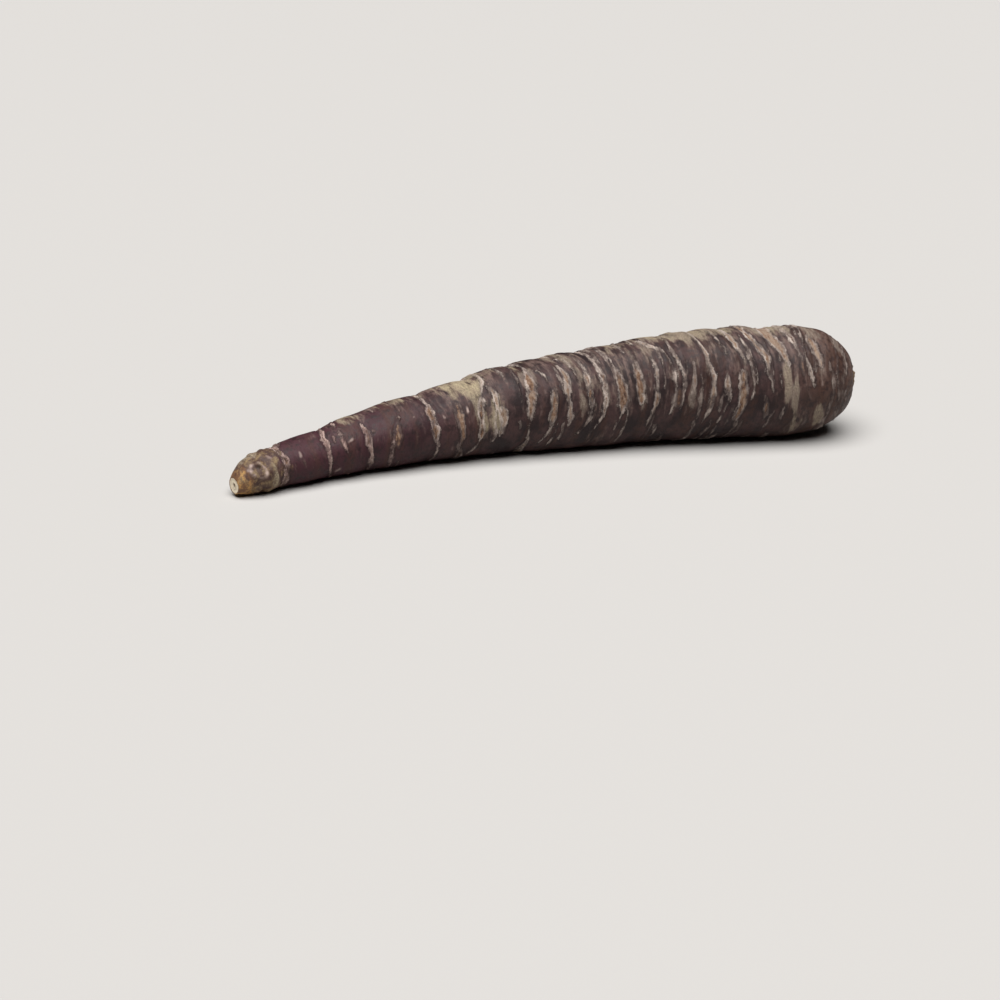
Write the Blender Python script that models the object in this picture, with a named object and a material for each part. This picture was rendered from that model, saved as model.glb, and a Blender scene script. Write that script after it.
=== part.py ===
"""A whole black carrot lying on its side: one grown taproot, thin tip at -X and leaf crown at +X.

Every point of the skin is given by a station along the root, in millimetres from the tip, and an angle
round it. Angle 0 is the side that faces -Y, 90 is the top, -90 is the underside that it lies on.
The skin is a loft: rings of points at chosen stations, joined by quads, with a point at each end.
"""

import bmesh
import bpy
import numpy as np

MM = 0.001

# Driving dimensions, in millimetres and degrees
LENGTH = 220.0
BOW = 17.5  # how far the middle of the root bends sideways, to +Y
BOW_SKEW = -0.35  # below 0 the bend is strongest in the thin half
BODY_STATIONS = np.array([0.0, 1.4, 3.0, 4.8, 6.8, 9.5, 15, 26, 44, 73, 106, 141, 176, 194])
BODY_RADII = np.array([2.9, 4.0, 5.0, 5.8, 6.3, 6.6, 7.1, 7.8, 9.6, 12.2, 15.4, 17.3, 19.0, 19.0])

# The thin tap root is broken off at the tip: its face is nearly flat, with a small pit in the middle
FACE_PROFILE = np.array([(0.7, 0.0), (0.6, 0.4), (0.1, 0.75), (0.15, 1.6)])  # station, radius
TIP_BARE_ENDS = 8.0  # the relief of the skin grows from none at the rim to full here

# The shoulder is a superellipse round to the leaf scar, a low corky cone inside a shallow ring
SHOULDER_START = 194.0
SHOULDER_POWER = 2.35
SHOULDER_TURN = 212.0  # from here on its rows are spaced by their radius
SHOULDER_ROWS = 7
LEAF_SCAR_RADIUS = 7.6
LEAF_SCAR_PROFILE = np.array([(-0.9, 6.5), (-0.4, 5.6), (0.6, 4.7), (0.6, 3.8), (1.3, 2.8), (1.2, 1.4), (0.7, 0.0)])
LEAF_BASE_RIPPLE = 0.3
SHOULDER_BARE = 217.0  # past here the skin has no relief

# The section is a little oval and three-sided, and turns slowly along the root
OVAL = 0.018
TRIANGULAR = 0.011

# Rings lean: on the side that faces -Y they lie nearer the crown than on the far side
RING_LEAN = 5.5
LEAN_ANGLE = 20.0
RING_WAVE = 0.55

# The flesh swells between waists, where the skin is tied down by a ring of cork
WAISTS = np.array([4.0, 15, 31, 44.5, 67.5, 85.5, 103, 116, 129, 142, 157.5, 167, 178, 192, 204, 214])
SWELL = 0.4
LUMPS = 0.3
TIP_KNOBS = 0.35  # the last stretch before the tip is knobbly
TIP_KNOBS_END = 15.0

# Cork scars that show: station at their middle, angle from and to, width, depth
SHOWN_SCARS = np.array([
    (15, -80, 150, 2.6, 0.45),
    (31, -70, 170, 2.2, 0.40),
    (44.5, -66, 78, 2.6, 0.45),
    (55, -15, 55, 1.6, 0.15),
    (67.5, -75, 165, 3.4, 0.65),
    (77, -28, 50, 2.6, 0.35),
    (85.5, -45, 150, 3.4, 0.50),
    (92.5, -18, 50, 3.2, 0.35),
    (103, -40, 165, 3.8, 0.70),
    (110, -38, 30, 2.4, 0.35),
    (116, -14, 70, 2.2, 0.40),
    (123, -32, 82, 2.4, 0.40),
    (129, -34, 160, 2.8, 0.60),
    (134.5, -28, 100, 2.8, 0.45),
    (142, -2, 54, 2.8, 0.40),
    (148, -30, 88, 2.2, 0.38),
    (154, -14, 70, 2.2, 0.35),
    (157.5, -14, 160, 2.6, 0.55),
    (161.5, -2, 47, 1.8, 0.30),
    (167, -32, 165, 3.0, 0.60),
    (172.5, -28, 80, 2.4, 0.35),
    (178, -26, 130, 3.0, 0.45),
    (184.5, 40, 95, 3.2, 0.40),
    (187.5, -20, 34, 2.0, 0.25),
    (192, 34, 155, 3.6, 0.50),
    (198.5, 30, 110, 2.4, 0.40),
    (204, 8, 78, 2.6, 0.35),
    (209.5, -40, 60, 2.0, 0.30),
])
SCAR_FULL = 0.55  # the middle share of a scar that has its full depth, before it dies out to both ends
HIDDEN_SCAR_MIDDLE = (140.0, 285.0)
HIDDEN_SCAR_HALF = (22.0, 75.0)
SEED = 11

# What it lies on: three low spots, each pressed a little flat, with the underside just clear between them
REST_SPOTS = ((9.0, 5.0), (118.0, 26.0), (190.0, 9.0))  # middle station and reach of each spot
REST_SINK = 0.3
CLEARANCE = 0.2
TIP_LIFT = 0.9  # how much higher the broken rim is
TIP_LIFT_ENDS = 4.0
UNDERSIDE_FADE = (9.0, 44.0)  # the relief grows from none to full between these angles from the lowest line

# Fineness of the mesh
POINTS_ROUND = 36
TIP_ROWS = 5  # how many of the first body stations are rows themselves
WIDEST_STEP = 3.2
NARROWEST_STEP = 0.85

SKIN_COLOUR = (0.049, 0.036, 0.041, 1.0)
SKIN_ROUGHNESS = 0.5


def curve_through(stations, values, at):
    """A smooth curve through the points: cubic pieces, with each point's slope taken from its neighbours."""
    slopes = np.gradient(values, stations)
    k = np.clip(np.searchsorted(stations, at) - 1, 0, len(stations) - 2)
    width = stations[k + 1] - stations[k]
    t = (at - stations[k]) / width
    start = (2 * t**3 - 3 * t**2 + 1) * values[k] + (t**3 - 2 * t**2 + t) * width * slopes[k]
    end = (3 * t**2 - 2 * t**3) * values[k + 1] + (t**3 - t**2) * width * slopes[k + 1]
    return start + end


def soft_step(low, high, value):
    t = np.clip((value - low) / (high - low), 0, 1)
    return t * t * (3 - 2 * t)


def body_radius(station):
    """The plain radius from the tip's rim to the shoulder, and from there a superellipse to the end."""
    on_body = np.clip(station, BODY_STATIONS[0], SHOULDER_START)
    share = np.clip((station - SHOULDER_START) / (LENGTH - SHOULDER_START), 0, 1)
    rounding = (1 - share**SHOULDER_POWER) ** (1 / SHOULDER_POWER)
    return curve_through(BODY_STATIONS, BODY_RADII, on_body) * rounding


def crown_profile():
    """Stations and radii round the end of the shoulder, into the ring of the leaf scar and over its cone."""
    start = body_radius(SHOULDER_TURN)
    radii = np.linspace(start, LEAF_SCAR_RADIUS, SHOULDER_ROWS + 1)[1:]
    across = radii / BODY_RADII[-1]
    reach = LENGTH - SHOULDER_START
    stations = SHOULDER_START + reach * (1 - across**SHOULDER_POWER) ** (1 / SHOULDER_POWER)
    scar = LEAF_SCAR_PROFILE + np.array([stations[-1], 0])
    return np.vstack([np.column_stack([stations, radii]), scar])


def body_rows():
    """Each scar gets a row at its middle and one at each side, and the gaps are filled evenly."""
    middles = SHOWN_SCARS[:, 0]
    sides = 0.5 * SHOWN_SCARS[:, 3]
    first, last = BODY_STATIONS[0], SHOULDER_TURN
    ends = np.append(BODY_STATIONS[:TIP_ROWS], last)
    wanted = np.sort(np.concatenate([ends, middles, middles - sides, middles + sides]))
    wanted = wanted[(wanted >= first) & (wanted <= last)]
    rows = [first]
    for station in wanted[1:]:
        gap = station - rows[-1]
        if gap < NARROWEST_STEP:
            continue
        pieces = int(np.ceil(gap / WIDEST_STEP))
        rows.extend(rows[-1] + gap * np.arange(1, pieces + 1) / pieces)
    rows[-1] = last
    return np.array(rows)


def profile():
    """Every row of the loft as (station, radius), from the tip's point to the crown's point."""
    rows = body_rows()
    return np.vstack([FACE_PROFILE, np.column_stack([rows, body_radius(rows)]), crown_profile()])


def hidden_scars():
    """Scars on the sides that face away: one near each shown scar, with its place and reach drawn at random."""
    draw = np.random.default_rng(SEED)
    count = len(SHOWN_SCARS)
    middle = draw.uniform(*HIDDEN_SCAR_MIDDLE, count)
    half = draw.uniform(*HIDDEN_SCAR_HALF, count)
    hidden = SHOWN_SCARS.copy()
    hidden[:, 1] = middle - half
    hidden[:, 2] = middle + half
    return hidden


def arc_share(angle, start, end):
    """1 along the arc from start to end degrees, fading to 0 past each end, on any turn of the circle."""
    from_middle = (angle - (start + end) / 2 + 180) % 360 - 180
    half = (end - start) / 2
    return 1 - soft_step(SCAR_FULL * half, 1.08 * half, np.abs(from_middle))


def relief(row, angle):
    """Height of the skin over the plain section: swells between waists, lumps, and the sunk scars."""
    k = np.clip(np.searchsorted(WAISTS, row) - 1, 0, len(WAISTS) - 2)
    share = np.clip((row - WAISTS[k]) / (WAISTS[k + 1] - WAISTS[k]), 0, 1)
    height = SWELL * (np.sin(np.pi * share) ** 2 - 0.5)
    turn = np.radians(angle)
    height = height + LUMPS * np.sin(row / 13 + 2 * turn) * np.sin(row / 21 - turn + 1)
    knobs = np.sin(3 * turn + row) * np.sin(0.8 * row + 1) + 0.6 * np.sin(5 * turn - 1.3 * row)
    height = height + TIP_KNOBS * knobs * (1 - soft_step(0.7 * TIP_KNOBS_END, TIP_KNOBS_END, row))
    for station, start, end, width, depth in np.vstack([SHOWN_SCARS, hidden_scars()]):
        groove = np.exp(-(((row - station) / (0.55 * width)) ** 2))
        height = height - depth * groove * arc_share(angle, start, end)
    from_lowest = (angle + 90 + 180) % 360 - 180
    return height * soft_step(*UNDERSIDE_FADE, np.abs(from_lowest))


def section(station, angle):
    """Radius of the plain section at an angle, as a share of the mean radius."""
    turn = np.radians(angle)
    oval = OVAL * np.cos(2 * turn + station / 60)
    return 1 + oval + TRIANGULAR * np.cos(3 * turn - station / 45)


def ring_shift(row, angle):
    """How far along the root a ring moves at this angle: its lean and a slow wave, none at either end."""
    turn = np.radians(angle)
    lean = RING_LEAN * soft_step(50, 125, row) * (1 - soft_step(185, 212, row))
    wave = RING_WAVE * (np.sin(2 * turn + row / 9) + 0.5 * np.sin(3 * turn - row / 6))
    wave = wave * soft_step(6, 20, row) * (1 - soft_step(195, 212, row))
    return lean * (np.cos(turn - np.radians(LEAN_ANGLE)) - 1) + wave


def axis_points(station):
    """The axis and the level direction across it.

    It bows to +Y, and is as high as the radius under it. So the underside is level, and just clear of the
    surface but for the rest spots.
    """
    share = station / LENGTH
    aside = BOW * 4 * share * (1 - share) * (1 + BOW_SKEW * (share - 0.5))
    slope = 4 * (1 - 2 * share) * (1 + BOW_SKEW * (share - 0.5)) + 4 * share * (1 - share) * BOW_SKEW
    heading = np.arctan(BOW * slope / LENGTH)
    gap = CLEARANCE + TIP_LIFT * (1 - soft_step(0, TIP_LIFT_ENDS, station))
    for middle, reach in REST_SPOTS:
        gap = gap - (CLEARANCE + REST_SINK) * (1 - soft_step(0.5 * reach, reach, np.abs(station - middle)))
    height = body_radius(np.minimum(station, SHOULDER_START)) * section(station, -90.0) + gap
    axis = np.stack([station - LENGTH / 2, aside, height], axis=-1)
    across = np.stack([-np.sin(heading), np.cos(heading), np.zeros_like(heading)], axis=-1)
    return axis, across


def skin_points():
    """All points of the loft in millimetres, as rows by points round."""
    rows = profile()
    angle = np.arange(POINTS_ROUND) * 360 / POINTS_ROUND - 90
    row, angle = np.meshgrid(rows[:, 0], angle, indexing="ij")
    station = row + ring_shift(row, angle)
    plain = np.repeat(rows[:, 1:], POINTS_ROUND, axis=1)
    number = np.arange(len(rows))[:, None]
    first_scar_row = len(rows) - len(LEAF_SCAR_PROFILE)
    on_body = (number >= len(FACE_PROFILE)) & (number < first_scar_row - SHOULDER_ROWS)
    plain = np.where(on_body, body_radius(station), plain)
    skinned = soft_step(0, TIP_BARE_ENDS, row) * (1 - soft_step(SHOULDER_TURN, SHOULDER_BARE, row))
    turn = np.radians(angle)
    ripple = LEAF_BASE_RIPPLE * (np.cos(5 * turn) + 0.7 * np.cos(3 * turn + 1) + 0.5 * np.cos(8 * turn))
    ripple = ripple * (number >= first_scar_row) * soft_step(0, 4, plain)
    radius = plain * section(station, angle) + relief(row, angle) * skinned + ripple
    axis, across = axis_points(station)
    points = axis - (radius * np.cos(turn))[..., None] * across
    points[..., 2] = np.maximum(points[..., 2] + radius * np.sin(turn), 0)
    return points


def add_root():
    points = skin_points()
    corner_low = points.min(axis=(0, 1))
    corner_high = points.max(axis=(0, 1))
    centre = (corner_low + corner_high) / 2
    centre[2] = corner_low[2]
    points = (points - centre) * MM
    bm = bmesh.new()
    tip = bm.verts.new(points[0, 0])
    crown = bm.verts.new(points[-1, 0])
    rings = [[bm.verts.new(point) for point in ring] for ring in points[1:-1]]
    for j in range(POINTS_ROUND):
        k = (j + 1) % POINTS_ROUND
        bm.faces.new((tip, rings[0][j], rings[0][k]))
        bm.faces.new((crown, rings[-1][k], rings[-1][j]))
        for ring, following in zip(rings, rings[1:]):
            bm.faces.new((ring[j], following[j], following[k], ring[k]))
    bmesh.ops.recalc_face_normals(bm, faces=bm.faces)
    mesh = bpy.data.meshes.new("taproot")
    bm.to_mesh(mesh)
    bm.free()
    mesh.shade_smooth()
    root = bpy.data.objects.new("taproot", mesh)
    bpy.context.collection.objects.link(root)
    return root


def skin_material():
    material = bpy.data.materials.new("dark_carrot_skin")
    material.use_nodes = True
    shader = material.node_tree.nodes["Principled BSDF"]
    shader.inputs["Base Color"].default_value = SKIN_COLOUR
    shader.inputs["Roughness"].default_value = SKIN_ROUGHNESS
    shader.inputs["Metallic"].default_value = 0.0
    return material


for existing in list(bpy.data.objects):
    bpy.data.objects.remove(existing, do_unlink=True)
carrot = add_root()
carrot.data.materials.append(skin_material())
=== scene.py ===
# %% [markdown]
# # A black carrot
# A black carrot is an old kind of carrot whose skin is dark purple-brown. As it thickens, the skin splits in
# rings round the root, and the splits heal as pale, dull lips of cork round rusty cores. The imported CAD
# solid holds the form: the bend, the swells between the rings, the scar at the crown and the broken tip.
# This lesson puts a finer skin over it, with the same form, and then paints and lights it.

import bpy
import numpy as np
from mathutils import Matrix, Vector


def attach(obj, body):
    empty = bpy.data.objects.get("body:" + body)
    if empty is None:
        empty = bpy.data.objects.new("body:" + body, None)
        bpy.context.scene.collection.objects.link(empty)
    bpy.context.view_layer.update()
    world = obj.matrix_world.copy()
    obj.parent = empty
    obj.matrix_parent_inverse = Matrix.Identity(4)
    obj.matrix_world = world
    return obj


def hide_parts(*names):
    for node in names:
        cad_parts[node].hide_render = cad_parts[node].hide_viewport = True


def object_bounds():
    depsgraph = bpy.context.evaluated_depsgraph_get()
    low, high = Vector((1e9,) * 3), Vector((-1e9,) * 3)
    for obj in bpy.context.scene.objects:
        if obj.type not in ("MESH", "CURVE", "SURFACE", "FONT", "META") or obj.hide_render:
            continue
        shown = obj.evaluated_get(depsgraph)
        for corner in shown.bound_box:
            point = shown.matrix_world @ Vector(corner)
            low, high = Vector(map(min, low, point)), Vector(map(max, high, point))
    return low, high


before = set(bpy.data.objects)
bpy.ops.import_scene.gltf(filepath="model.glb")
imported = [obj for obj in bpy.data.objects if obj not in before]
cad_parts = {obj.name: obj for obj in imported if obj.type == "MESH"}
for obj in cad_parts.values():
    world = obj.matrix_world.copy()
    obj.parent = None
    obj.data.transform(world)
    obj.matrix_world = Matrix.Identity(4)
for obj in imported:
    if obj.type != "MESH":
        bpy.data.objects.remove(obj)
cad_low, cad_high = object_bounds()
print("CAD box in mm:", [round(1000 * (high - low), 1) for low, high in zip(cad_low, cad_high)])

# %% [markdown]
# ## Where a point of the skin is
# A bent, tapering root is awkward in X, Y and Z, and easy in its own two directions: a row, in millimetres
# from the tip, and an angle round it. Angle 0 faces the camera's side, 90 is the top and -90 the underside.
# The values here are those of the CAD source, so both surfaces agree.

# %% Sizes of the root, in millimetres and degrees
MM = 0.001
LENGTH = 220.0
BOW = 17.5
BOW_SKEW = -0.35
BODY_STATIONS = np.array([0.0, 1.4, 3.0, 4.8, 6.8, 9.5, 15, 26, 44, 73, 106, 141, 176, 194])
BODY_RADII = np.array([2.9, 4.0, 5.0, 5.8, 6.3, 6.6, 7.1, 7.8, 9.6, 12.2, 15.4, 17.3, 19.0, 19.0])
SHOULDER_START = 194.0
SHOULDER_POWER = 2.35
SHOULDER_TURN = 212.0
SHOULDER_BARE = 217.0
UNDERSIDE = -90.0
OVAL = 0.018
OVAL_TWIST = 60.0  # millimetres along the root for each radian of turn, as in the next twists
TRIANGULAR = 0.011
TRIANGULAR_TWIST = 45.0
RING_LEAN = 5.5
LEAN_ANGLE = 20.0
LEAN_GROWS = (50.0, 125.0)
LEAN_ENDS = (185.0, 212.0)
RING_WAVE = 0.55
WAVE_TWISTS = (9.0, 6.0)
WAVE_GROWS = (6.0, 20.0)
WAVE_ENDS = (195.0, 212.0)
TIP_BARE_ENDS = 8.0
REST_SPOTS = ((9.0, 5.0), (118.0, 26.0), (190.0, 9.0))
REST_SINK = 0.3
CLEARANCE = 0.2
TIP_LIFT = 0.9
TIP_LIFT_ENDS = 4.0

# %% A soft step, a smooth curve through points, and the plain radius
def soft_step(low, high, value):
    """0 below low and 1 above high, and between them three times the square less twice the cube."""
    t = np.clip((value - low) / (high - low), 0, 1)
    return t * t * (3 - 2 * t)


def curve_through(stations, values, at):
    """Cubic pieces through the points, with each point's slope taken from its two neighbours."""
    slopes = np.gradient(values, stations)
    k = np.clip(np.searchsorted(stations, at) - 1, 0, len(stations) - 2)
    width = stations[k + 1] - stations[k]
    t = (at - stations[k]) / width
    start = (2 * t**3 - 3 * t**2 + 1) * values[k] + (t**3 - 2 * t**2 + t) * width * slopes[k]
    end = (3 * t**2 - 2 * t**3) * values[k + 1] + (t**3 - t**2) * width * slopes[k + 1]
    return start + end


def body_radius(station):
    """The plain radius: a curve through the body's radii, times a superellipse past the shoulder."""
    on_body = np.clip(station, BODY_STATIONS[0], SHOULDER_START)
    share = np.clip((station - SHOULDER_START) / (LENGTH - SHOULDER_START), 0, 1)
    rounding = (1 - share**SHOULDER_POWER) ** (1 / SHOULDER_POWER)
    return curve_through(BODY_STATIONS, BODY_RADII, on_body) * rounding


print("thickest radius in mm:", round(float(body_radius(np.linspace(0, LENGTH, 500)).max()), 1))

# %% Section, lean of the rings, and the bent axis
def section(station, angle):
    """Radius as a share of the plain one: a slow oval and a three-sided swell that turn along the root."""
    turn = np.radians(angle)
    oval = OVAL * np.cos(2 * turn + station / OVAL_TWIST)
    return 1 + oval + TRIANGULAR * np.cos(3 * turn - station / TRIANGULAR_TWIST)


def ring_shift(row, angle):
    """How far a ring moves along the root at an angle: a lean that is greatest in the middle, and a wave."""
    turn = np.radians(angle)
    lean = RING_LEAN * soft_step(*LEAN_GROWS, row) * (1 - soft_step(*LEAN_ENDS, row))
    wave = np.sin(2 * turn + row / WAVE_TWISTS[0]) + 0.5 * np.sin(3 * turn - row / WAVE_TWISTS[1])
    wave = RING_WAVE * wave * soft_step(*WAVE_GROWS, row) * (1 - soft_step(*WAVE_ENDS, row))
    return lean * (np.cos(turn - np.radians(LEAN_ANGLE)) - 1) + wave


def axis_points(station):
    """The axis and the level direction across it: a skewed parabola to +Y, as high as the radius under it."""
    share = station / LENGTH
    aside = BOW * 4 * share * (1 - share) * (1 + BOW_SKEW * (share - 0.5))
    slope = 4 * (1 - 2 * share) * (1 + BOW_SKEW * (share - 0.5)) + 4 * share * (1 - share) * BOW_SKEW
    heading = np.arctan(BOW * slope / LENGTH)
    gap = CLEARANCE + TIP_LIFT * (1 - soft_step(0, TIP_LIFT_ENDS, station))
    for middle, reach in REST_SPOTS:
        gap = gap - (CLEARANCE + REST_SINK) * (1 - soft_step(0.5 * reach, reach, np.abs(station - middle)))
    height = body_radius(np.minimum(station, SHOULDER_START)) * section(station, UNDERSIDE) + gap
    axis = np.stack([station - LENGTH / 2, aside, height], axis=-1)
    across = np.stack([-np.sin(heading), np.cos(heading), np.zeros_like(heading)], axis=-1)
    return axis, across


# %% [markdown]
# ## The grid of the skin
# The scars run round the root and are thin along it, so the grid is three times as fine along the root as
# round it: 0.32 mm against about 0.9 mm. That holds a lip of cork half a millimetre wide. At the tip and at
# the crown the rows follow the radius inward instead, down to one closing point at each end.

# %% Rows and angles of the grid
ROW_STEP = 0.32
POINTS_ROUND = 128
FACE_ROWS = 14
SHOULDER_ROWS = 22
LEAF_SCAR_ROWS = 34
LEAF_SCAR_RADIUS = 7.6
# Each point of a profile is a row and a radius. The leaf scar's rows count from the end of the shoulder
FACE_PROFILE = np.array([(0.7, 0.0), (0.6, 0.4), (0.1, 0.75), (0.15, 1.6)])
LEAF_SCAR_PROFILE = np.array([
    (-0.9, 6.5), (-0.4, 5.6), (0.6, 4.7), (0.6, 3.8), (1.3, 2.8), (1.2, 1.4), (0.7, 0.0),
])


def spread(profile, count):
    """The same profile with more points, evenly by radius and without its last one."""
    order = np.argsort(profile[:, 1])
    radii = np.linspace(profile[0, 1], profile[-1, 1], count + 1)[:-1]
    return np.column_stack([curve_through(profile[order, 1], profile[order, 0], radii), radii])


face = spread(np.vstack([FACE_PROFILE, (0.0, BODY_RADII[0])]), FACE_ROWS)
body_rows = np.arange(0, SHOULDER_TURN, ROW_STEP)
shoulder_radii = np.linspace(body_radius(SHOULDER_TURN), LEAF_SCAR_RADIUS, SHOULDER_ROWS)
shoulder_share = (1 - (shoulder_radii / BODY_RADII[-1]) ** SHOULDER_POWER) ** (1 / SHOULDER_POWER)
shoulder = np.column_stack([SHOULDER_START + (LENGTH - SHOULDER_START) * shoulder_share, shoulder_radii])
crown_knots = np.vstack([shoulder[-1], LEAF_SCAR_PROFILE + np.array([shoulder[-1, 0], 0])])
leaf_scar = np.vstack([spread(crown_knots, LEAF_SCAR_ROWS)[1:], crown_knots[-1]])
profile = np.vstack([face, np.column_stack([body_rows, body_radius(body_rows)]), shoulder, leaf_scar])

degrees_round = np.arange(POINTS_ROUND) * 360 / POINTS_ROUND + UNDERSIDE
row, angle = np.meshgrid(profile[:, 0], degrees_round, indexing="ij")
turn = np.radians(angle)
row_index = np.arange(len(profile))[:, None]
on_face = row_index < len(face)
on_body = (row_index >= len(face)) & (row_index < len(face) + len(body_rows))
on_leaf_scar = row_index >= len(profile) - len(leaf_scar)
station = row + ring_shift(row, angle)
plain = np.where(on_body, body_radius(station), profile[:, 1:])
print("grid:", row.shape, "which is", 2 * row.size, "triangles")

# %% [markdown]
# ## Rings that the form repeats
# The main rings are sunk into the flesh, and the flesh swells between them. These are the CAD source's own
# numbers: where a ring is along the root, the angles between which it runs, its width and its depth.

# %% Swells and sunk rings
WAISTS = np.array([4.0, 15, 31, 44.5, 67.5, 85.5, 103, 116, 129, 142, 157.5, 167, 178, 192, 204, 214])
SWELL = 0.4
LUMPS = 0.3
LUMP_TWIST = 13.0
LUMP_BACK_TWIST = 21.0
TIP_KNOBS = 0.35
TIP_KNOBS_END = 15.0
KNOB_TURNS = (0.8, 1.3)  # radians for each millimetre along
SMALL_KNOBS = 0.6
RINGS = np.array([
    (15, -80, 150, 2.6, 0.45),
    (31, -70, 170, 2.2, 0.40),
    (44.5, -66, 78, 2.6, 0.45),
    (55, -15, 55, 1.6, 0.15),
    (67.5, -75, 165, 3.4, 0.65),
    (77, -28, 50, 2.6, 0.35),
    (85.5, -45, 150, 3.4, 0.50),
    (92.5, -18, 50, 3.2, 0.35),
    (103, -40, 165, 3.8, 0.70),
    (110, -38, 30, 2.4, 0.35),
    (116, -14, 70, 2.2, 0.40),
    (123, -32, 82, 2.4, 0.40),
    (129, -34, 160, 2.8, 0.60),
    (134.5, -28, 100, 2.8, 0.45),
    (142, -2, 54, 2.8, 0.40),
    (148, -30, 88, 2.2, 0.38),
    (154, -14, 70, 2.2, 0.35),
    (157.5, -14, 160, 2.6, 0.55),
    (161.5, -2, 47, 1.8, 0.30),
    (167, -32, 165, 3.0, 0.60),
    (172.5, -28, 80, 2.4, 0.35),
    (178, -26, 130, 3.0, 0.45),
    (184.5, 40, 95, 3.2, 0.40),
    (187.5, -20, 34, 2.0, 0.25),
    (192, 34, 155, 3.6, 0.50),
    (198.5, 30, 110, 2.4, 0.40),
    (204, 8, 78, 2.6, 0.35),
    (209.5, -40, 60, 2.0, 0.30),
])
RING_FULL = 0.55  # of half its length, where a ring starts to fade
RING_GONE = 1.08
RING_REACH = 0.55  # of its width, where its depth has fallen to about a third
HIDDEN_MIDDLE = (140.0, 285.0)
HIDDEN_HALF = (22.0, 75.0)
SEED = 11
UNDERSIDE_FADE = (9.0, 44.0)

draw = np.random.default_rng(SEED)
hidden_middle = draw.uniform(*HIDDEN_MIDDLE, len(RINGS))
hidden_half = draw.uniform(*HIDDEN_HALF, len(RINGS))
hidden_rings = RINGS.copy()
hidden_rings[:, 1] = hidden_middle - hidden_half
hidden_rings[:, 2] = hidden_middle + hidden_half


def turned(angle_from_middle):
    """The same angle, brought between -180 and 180 degrees."""
    return (angle_from_middle + 180) % 360 - 180


def form_relief(row, angle):
    """Height over the plain section: swells between waists, lumps, knobs at the tip, less each sunk ring."""
    k = np.clip(np.searchsorted(WAISTS, row) - 1, 0, len(WAISTS) - 2)
    share = np.clip((row - WAISTS[k]) / (WAISTS[k + 1] - WAISTS[k]), 0, 1)
    turn = np.radians(angle)
    height = SWELL * (np.sin(np.pi * share) ** 2 - 0.5)
    forth = row / LUMP_TWIST + 2 * turn
    back = row / LUMP_BACK_TWIST - turn + 1
    height = height + LUMPS * np.sin(forth) * np.sin(back)
    knobs = np.sin(3 * turn + row) * np.sin(KNOB_TURNS[0] * row + 1)
    knobs = knobs + SMALL_KNOBS * np.sin(5 * turn - KNOB_TURNS[1] * row)
    height = height + TIP_KNOBS * knobs * (1 - soft_step(0.7 * TIP_KNOBS_END, TIP_KNOBS_END, row))
    for middle, start, end, width, depth in np.vstack([RINGS, hidden_rings]):
        half = (end - start) / 2
        from_middle = np.abs(turned(angle - (start + end) / 2))
        along = 1 - soft_step(RING_FULL * half, RING_GONE * half, from_middle)
        height = height - depth * np.exp(-(((row - middle) / (RING_REACH * width)) ** 2)) * along
    return height * soft_step(*UNDERSIDE_FADE, np.abs(turned(angle - UNDERSIDE)))


print("sunk rings:", len(RINGS), "that show and", len(hidden_rings), "that face away")

# %% [markdown]
# ## Where the cork is
# Each scar is a lens drawn on the skin: long round the root, one to four millimetres wide, narrow at both
# ends. Instead of a picture, every point of the grid gets one number, how many millimetres it is inside the
# nearest lens. Such a number changes evenly from point to point, so the edge that a material cuts from it
# stays sharp between the points. Wide lenses show a core between two lips. Narrow ones are all lip.

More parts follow.
